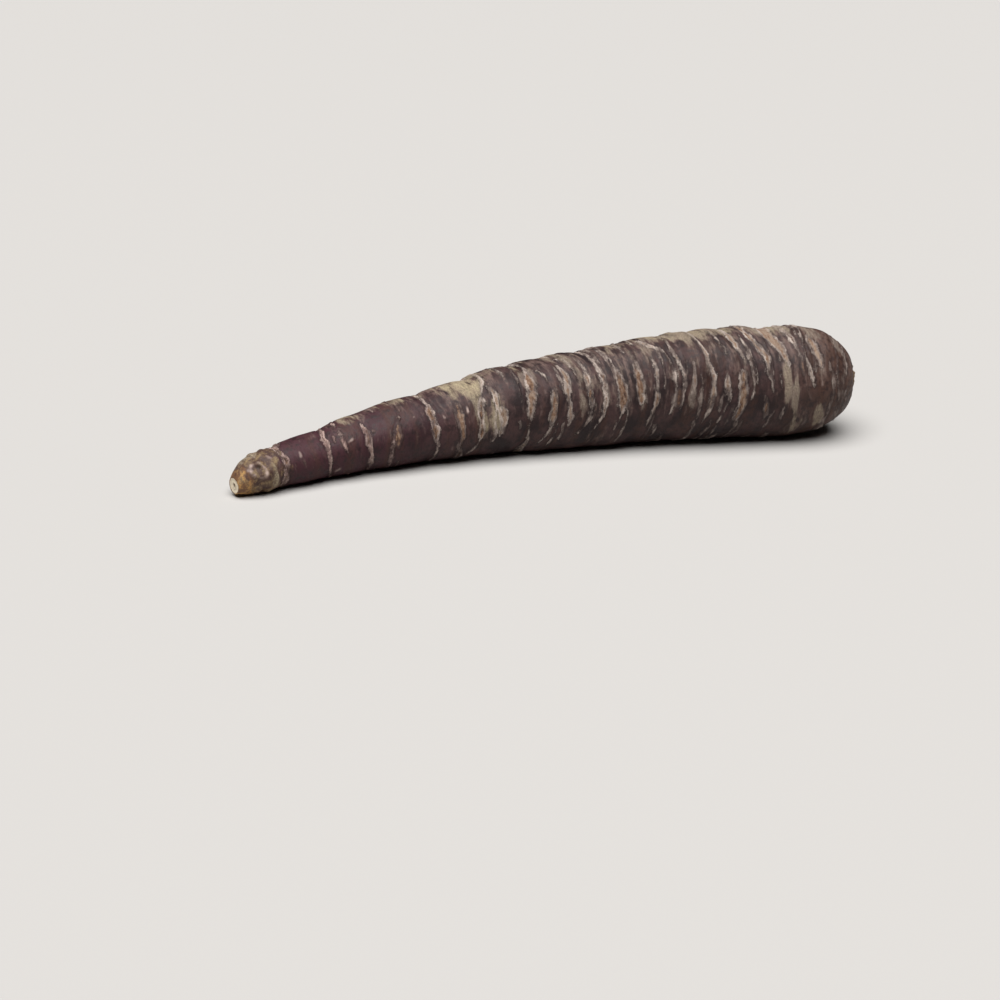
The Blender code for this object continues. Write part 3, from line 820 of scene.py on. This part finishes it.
# Size in millimetres, squeeze, detail and roughness. The squeeze makes the grain run round the root.
# Real cork grain is about 0.1 mm, too fine to show here, so it is drawn at 0.45 mm and more.
PATTERNS = {
    "clouds": (8.0, 1.00, 6.0, 0.60),
    "mottle": (2.2, 1.00, 5.0, 0.62),
    "speckle": (0.45, 1.00, 3.0, 0.60),
    "grain": (0.9, 0.45, 5.0, 0.65),
    "patchy": (2.2, 0.45, 8.0, 0.70),
    "flow": (1.7, 0.24, 5.0, 0.60),
    "strand": (0.6, 0.22, 3.0, 0.60),
    "bands": (4.5, 0.12, 4.0, 0.55),
}
noises = []
for size, squeeze, detail, roughness in PATTERNS.values():
    scale = (1 / size, squeeze / size, squeeze / size)
    place = add_node(tree, "ShaderNodeVectorMath", {0: where, 1: scale}, **TIMES)
    settings = {"Vector": place, "Scale": 1.0, "Detail": detail, "Roughness": roughness}
    noises.append(add_node(tree, "ShaderNodeTexNoise", settings))
clouds, mottle, speckle, grain, patchy, flow, strand, bands = noises

# %% What the masks cut: numbers from the mesh, pushed to and fro by noise
FLOW_FRAY = 2.4
PATCHY_FRAY = 2.0
STRAND_FRAY = 1.4
SPECKLE_FRAY = 1.3
CORE_STRANDS = 2.4
FILM_FRAY = 0.5
BLOOM_FROM_DRYNESS_AND_LIGHT = 0.6
DOT_FRAY = 2.0
FACE_FRAY = 0.55
HOLE_FRAY = 1.2
TIP_FRAY = 22.0  # millimetres by which the tip's edges are moved
LOW_SIDE_PULL = 0.55
LICHEN_SPECKLE = 0.3
fray = {0: flow, 1: FLOW_FRAY, 2: -(FLOW_FRAY + PATCHY_FRAY) / 2}
fray = add_node(tree, MATH, fray, **TIMES_PLUS)
fray = add_node(tree, MATH, {0: patchy, 1: PATCHY_FRAY, 2: fray}, **TIMES_PLUS)
fray = add_node(tree, MATH, {0: strand, 1: STRAND_FRAY, 2: fray}, **TIMES_PLUS)
fine_fray = {0: speckle, 1: SPECKLE_FRAY, 2: -SPECKLE_FRAY / 2}
fine_fray = add_node(tree, MATH, fine_fray, **TIMES_PLUS)
fray = add_node(tree, MATH, {0: fray, 1: fine_fray}, **PLUS)
frayed = add_node(tree, MATH, {0: number["scar_depth"], 1: fray}, **PLUS)
frayed = add_node(tree, MATH, {0: frayed, 1: -STRAND_FRAY / 2}, **PLUS)
opened = add_node(tree, MATH, {0: strand, 1: -CORE_STRANDS, 2: frayed}, **TIMES_PLUS)
opened = add_node(tree, MATH, {0: opened, 1: CORE_STRANDS / 2}, **PLUS)
# the film follows the dryness, so it also carries the painted highlight on top and the painted shade
# underneath
film_place = add_node(tree, MATH, {0: flow, 1: patchy}, **PLUS)
film_place = add_node(tree, MATH, {0: film_place, 1: FILM_FRAY, 2: number["dryness_and_painted_light"]}, **TIMES_PLUS)
film_place = add_node(tree, MATH, {0: film_place, 1: bands}, **PLUS)
# the grey bloom is partly real dust and partly a painted highlight on top and painted shade on the underside,
# as it follows the dryness
bloom_and_painted_light_place = {0: number["dryness_and_painted_light"], 1: BLOOM_FROM_DRYNESS_AND_LIGHT, 2: flow}
bloom_and_painted_light_place = add_node(tree, MATH, bloom_and_painted_light_place, **TIMES_PLUS)
dot_fray = add_node(tree, MATH, {0: patchy, 1: DOT_FRAY, 2: -DOT_FRAY / 2}, **TIMES_PLUS)
torn = add_node(tree, MATH, {0: dot_fray, 1: FACE_FRAY, 2: number["face"]}, **TIMES_PLUS)
off_axis = add_node(tree, "ShaderNodeVectorMath", {0: where, 1: (0.0, 1.0, 1.0)}, **TIMES)
off_axis = add_node(tree, "ShaderNodeVectorMath", {0: off_axis}, out="Value", operation="LENGTH")
off_axis = add_node(tree, MATH, {0: dot_fray, 1: HOLE_FRAY, 2: off_axis}, **TIMES_PLUS)
tip_place = add_node(tree, MATH, {0: patchy, 1: TIP_FRAY, 2: -TIP_FRAY / 2}, **TIMES_PLUS)
tip_place = add_node(tree, MATH, {0: tip_place, 1: number["row"]}, **PLUS)
low_side = add_node(tree, "ShaderNodeSeparateXYZ", {0: where}, out="Z")
ochre_place = add_node(tree, MATH, {0: low_side, 1: LOW_SIDE_PULL, 2: tip_place}, **TIMES_PLUS)
lichen_place = add_node(tree, MATH, {0: speckle, 1: LICHEN_SPECKLE, 2: mottle}, **TIMES_PLUS)

# %% The masks: what is cut, where the soft step starts and ends, and the mask's least and most
MASKS = {
    "cork": (frayed, -0.30, 0.28, 0.00, 1.00),
    "core": (opened, 0.55, 1.15, 0.00, 1.00),
    # painted shade: a dark line on the skin just outside each lip, where the dip beside it lies in shade
    "cleft_shade": (frayed, -0.95, -0.25, 0.00, 0.45),
    "gaps": (patchy, 0.38, 0.58, 0.18, 1.00),
    "film": (film_place, 1.43, 1.60, 0.00, 1.00),
    "film_strands": (strand, 0.36, 0.62, 0.50, 0.88),
    "film_crumbs": (speckle, 0.40, 0.58, 0.60, 1.00),
    "cloudy": (clouds, 0.40, 0.60, 0.00, 1.00),
    "purple": (number["row"], 95.0, 30.0, 0.00, 0.85),
    "brown": (number["row"], 183.0, 218.0, 0.00, 0.80),
    "banded": (bands, 0.48, 0.62, 0.00, 0.45),
    "bloom_and_painted_light": (bloom_and_painted_light_place, 0.66, 0.90, 0.00, 0.85),
    "blotch": (mottle, 0.50, 0.36, 0.00, 0.65),
    "shade": (grain, 0.48, 0.30, 0.00, 0.70),
    # painted shade: the dark inside the hollow of the pit near the tip
    "pit": (number["pit"], 0.35, 0.80, 0.00, 1.00),
    "bark": (tip_place, 16.0, 11.5, 0.00, 0.75),
    "ochre": (ochre_place, 5.0, 1.0, 0.00, 0.95),
    "lichen": (lichen_place, 0.56, 0.88, 0.00, 1.00),
    "crumbs": (speckle, 0.38, 0.66, 0.00, 1.00),
    "cream": (torn, 0.25, 0.75, 0.00, 1.00),
    "hole": (off_axis, 1.2, 0.4, 0.00, 1.00),
}
RANGE_SOCKETS = ("Value", "From Min", "From Max", "To Min", "To Max")
SOFT = {"interpolation_type": "SMOOTHSTEP"}
PALE_LEAST = 0.12
mask = {
    name: add_node(tree, "ShaderNodeMapRange", dict(zip(RANGE_SOCKETS, values)), **SOFT)
    for name, values in MASKS.items()
}
strength = add_node(tree, MATH, {0: number["scar_pale"], 1: PALE_LEAST}, use_clamp=True, **PLUS)
lips = add_node(tree, MATH, {0: mask["cork"], 1: strength}, **TIMES)
lips = add_node(tree, MATH, {0: lips, 1: mask["gaps"]}, **TIMES)
film = add_node(tree, MATH, {0: mask["film"], 1: mask["film_strands"]}, **TIMES)
film = add_node(tree, MATH, {0: film, 1: mask["film_crumbs"]}, **TIMES)
dots = add_node(tree, MATH, {0: number["dot"], 1: dot_fray}, use_clamp=True, **PLUS)
dots = add_node(tree, MATH, {0: dots, 1: number["dot"]}, **TIMES)
print("masks:", len(mask))

# %% Skin colours, from the flesh outwards
# Purple flesh shows through the thin young skin near the tip, and older skin towards the crown is browner
SKIN_DARK = paint("#221617")
SKIN_MID = paint("#402d2c")
SKIN_PURPLE = paint("#3e2027")
SKIN_BROWN = paint("#523c33")
SKIN_RED = paint("#432b22")
SKIN_BLOOM_AND_PAINTED_LIGHT = paint("#65524c")
SKIN_SHADE = paint("#211617")
colour = paint_layers(tree, SKIN_DARK, [
    (mask["cloudy"], SKIN_MID),
    (mask["purple"], SKIN_PURPLE),
    (mask["brown"], SKIN_BROWN),
    (mask["banded"], SKIN_RED),
    # the bloom layer is partly painted highlight on top and painted shade underneath
    (mask["bloom_and_painted_light"], SKIN_BLOOM_AND_PAINTED_LIGHT),
    (mask["blotch"], SKIN_SHADE),
    (mask["shade"], SKIN_SHADE),
    # the last layer is painted shade in the dip just outside each lip
    (mask["cleft_shade"], SKIN_SHADE),
])

# %% Dry film, pale lips and darker cores
CORK_PALE = paint("#b0a299")
CORK_DULL = paint("#6b5c56")
CORK_PINK = paint("#aa837d")
CORE_HOLLOW = paint("#382a22")
CORE_RED = paint("#4c3830")
CORE_ORANGE = paint("#765a47")
CORE_TAN = paint("#8b7869")
DOT_PALE = paint("#ab978f")
FILM_GREY = paint("#796c65")
FILM_STRAW = paint("#b0a285")
GRAIN_SPREAD = 2.6
CLOUD_SPREAD = 3.0
PINK_SHARE = 0.5
pale_here = {0: grain, 1: GRAIN_SPREAD, 2: number["scar_pale"]}
pale_here = add_node(tree, MATH, pale_here, **TIMES_PLUS)
pale_here = add_node(tree, MATH, {0: clouds, 1: CLOUD_SPREAD, 2: pale_here}, **TIMES_PLUS)
pale_here = {0: pale_here, 1: -(GRAIN_SPREAD + CLOUD_SPREAD) / 2}
pale_here = add_node(tree, MATH, pale_here, use_clamp=True, **PLUS)
pink = add_node(tree, MATH, {0: mask["purple"], 1: PINK_SHARE}, **TIMES)
lip_colour = paint_layers(tree, CORK_DULL, [(pale_here, CORK_PALE), (pink, CORK_PINK)])
core_place = add_node(tree, MATH, {0: grain, 1: GRAIN_SPREAD, 2: -GRAIN_SPREAD / 2}, **TIMES_PLUS)
core_place = add_node(tree, MATH, {0: number["scar_tint"], 1: core_place}, use_clamp=True, **PLUS)
core_colour = add_node(tree, "ShaderNodeValToRGB", {"Fac": core_place})
ramp = core_colour.node.color_ramp
ramp.elements[0].color = CORE_HOLLOW
ramp.elements[1].color = CORE_TAN
ramp.elements.new(0.35).color = CORE_RED
ramp.elements.new(0.65).color = CORE_ORANGE
film_colour = paint_layers(tree, FILM_GREY, [(number["straw"], FILM_STRAW)])
colour = paint_layers(tree, colour, [
    (film, film_colour),
    (lips, lip_colour),
    (mask["core"], core_colour),
])

# %% Tip and crown colours
# The last millimetres of the tip have lost their skin: ochre flesh, then the cream disc of the break
TIP_OCHRE = paint("#b68c52")
TIP_RUST = paint("#6d4e37")
TIP_OLIVE = paint("#8f7b5a")
TIP_BARK = paint("#47332b")
TIP_CREAM = paint("#dccfb8")
TIP_HOLE = paint("#6f5d4c")
CROWN_DARK = paint("#33241c")
CROWN_CORK = paint("#624d3f")
STALK_TOP = paint("#74614e")
CROWN_COVER = 0.9
covered = add_node(tree, MATH, {0: lips, 1: film}, **LARGER)
spared = add_node(tree, MATH, {0: 1.0, 1: covered}, operation="SUBTRACT")
bark = add_node(tree, MATH, {0: mask["bark"], 1: spared}, **TIMES)
hole = add_node(tree, MATH, {0: mask["hole"], 1: mask["cream"]}, **TIMES)
crown = add_node(tree, MATH, {0: number["leaf_scar"], 1: CROWN_COVER}, **TIMES)
bark_colour = paint_layers(tree, TIP_BARK, [(mask["lichen"], TIP_OLIVE)])
ochre_colour = paint_layers(tree, TIP_RUST, [(mask["lichen"], TIP_OCHRE)])
crown_colour = paint_layers(tree, CROWN_DARK, [(mask["crumbs"], CROWN_CORK)])
colour = paint_layers(tree, colour, [
    (bark, bark_colour),
    (mask["ochre"], ochre_colour),
    (mask["cream"], TIP_CREAM),
    (hole, TIP_HOLE),
    (crown, crown_colour),
    (number["stalk"], STALK_TOP),
    (dots, DOT_PALE),
    # painted shade darkens the pit's hollow
    (mask["pit"], CORE_HOLLOW),
])
tree.links.new(colour, shader.inputs["Base Color"])

# %% Gloss and grain
CORK_ROUGH = 0.9
SKIN_GRAIN = 0.22  # this and the next two are heights in millimetres
CORK_GRAIN = 0.30
LIP_EDGE = 0.12
dull = add_node(tree, MATH, {0: covered, 1: number["leaf_scar"]}, **LARGER)
satin = {"Value": mottle, "From Min": 0.35, "From Max": 0.65, "To Min": 0.50, "To Max": 0.68}
satin = add_node(tree, "ShaderNodeMapRange", satin)
rough = {MIX_FACTOR: dull, MIX_FIRST: satin, MIX_SECOND: CORK_ROUGH}
rough = add_node(tree, "ShaderNodeMix", rough)
tree.links.new(rough, shader.inputs["Roughness"])
shader.inputs["IOR"].default_value = 1.40
shader.inputs["Specular IOR Level"].default_value = 0.35
height = add_node(tree, MATH, {0: grain, 1: SKIN_GRAIN}, **TIMES)
crumb = add_node(tree, MATH, {0: speckle, 1: dull}, **TIMES)
height = add_node(tree, MATH, {0: crumb, 1: CORK_GRAIN, 2: height}, **TIMES_PLUS)
height = add_node(tree, MATH, {0: lips, 1: LIP_EDGE, 2: height}, **TIMES_PLUS)
bump = add_node(tree, "ShaderNodeBump", {"Height": height, "Distance": MM, "Strength": 1.0})
tree.links.new(bump, shader.inputs["Normal"])
skin_mesh.materials.append(skin)
print("nodes in the skin:", len(tree.nodes))

# %% [markdown]
# ## Floor, light and camera
# The carrot lies on a plain pale floor that runs out of the picture. One broad light almost straight above,
# a little to the camera's side, is soft enough to leave no hard shadow. It brightens the top of the root and
# lets the underside go dark, and a weak even sky fills the rest.

# %% Pale floor
FLOOR_HALF = 30.0
CORNER_SIGNS = np.array([(-1, -1, 0), (1, -1, 0), (1, 1, 0), (-1, 1, 0)])
floor_mesh = bpy.data.meshes.new("pale_floor")
floor_mesh.from_pydata((FLOOR_HALF * CORNER_SIGNS).tolist(), [], [(0, 1, 2, 3)])
floor = bpy.data.objects.new("pale_floor", floor_mesh)
bpy.context.collection.objects.link(floor)

paper = bpy.data.materials.new("matte_pale_paper")
paper.use_nodes = True
paper_shader = paper.node_tree.nodes["Principled BSDF"]
paper_shader.inputs["Base Color"].default_value = paint("#b0aeac")
paper_shader.inputs["Roughness"].default_value = 0.9
paper_shader.inputs["Specular IOR Level"].default_value = 0.1
floor_mesh.materials.append(paper)

# %% Lights
LAMP_STRENGTH = 5.8
LAMP_ANGLE = np.radians(60)  # how wide it is, seen from the carrot, which softens every shadow
LAMP_COLOUR = (1.0, 0.99, 0.975)
LAMP_DIRECTION = Vector((0.10, 0.22, -1.0))
SKY_STRENGTH = 0.12
BACKDROP = paint("#e6e3de")  # the lit floor's own tone, so that a low view shows no horizon
lamp_data = bpy.data.lights.new("broad_overhead_light", "SUN")
lamp_data.energy = LAMP_STRENGTH
lamp_data.angle = LAMP_ANGLE
lamp_data.color = LAMP_COLOUR
lamp = bpy.data.objects.new("broad_overhead_light", lamp_data)
lamp.rotation_euler = LAMP_DIRECTION.to_track_quat("-Z", "Y").to_euler()
bpy.context.collection.objects.link(lamp)
sky = bpy.data.worlds.new("studio_sky")
sky.use_nodes = True
sky_tree = sky.node_tree
sky_light = sky_tree.nodes["Background"]
sky_light.inputs["Strength"].default_value = SKY_STRENGTH
backdrop = add_node(sky_tree, "ShaderNodeBackground", {"Color": BACKDROP, "Strength": 1.0})
seen = add_node(sky_tree, "ShaderNodeLightPath", out="Is Camera Ray")
shown = add_node(sky_tree, "ShaderNodeMixShader", {0: seen, 1: sky_light.outputs[0], 2: backdrop})
sky_tree.links.new(shown, sky_tree.nodes["World Output"].inputs["Surface"])
bpy.context.scene.world = sky
bpy.context.scene.view_settings.view_transform = "Standard"

# %% Camera at the photograph's angle
LENS = 70.0
SENSOR = 36.0
YAW = np.radians(17.5)
LOOK_DOWN = np.radians(21.0)
DISTANCE = 0.665
AIM = Vector((-0.01822, -0.00434, -0.0137))
look = Vector((np.sin(YAW) * np.cos(LOOK_DOWN), np.cos(YAW) * np.cos(LOOK_DOWN), -np.sin(LOOK_DOWN)))
camera_data = bpy.data.cameras.new("camera")
camera_data.lens = LENS
camera_data.sensor_width = SENSOR
camera_data.clip_start = 0.01
camera = bpy.data.objects.new("camera", camera_data)
camera.location = AIM - look * DISTANCE
camera.rotation_euler = look.to_track_quat("-Z", "Y").to_euler()
bpy.context.collection.objects.link(camera)
bpy.context.scene.camera = camera
print("camera at", [round(v, 3) for v in camera.location])
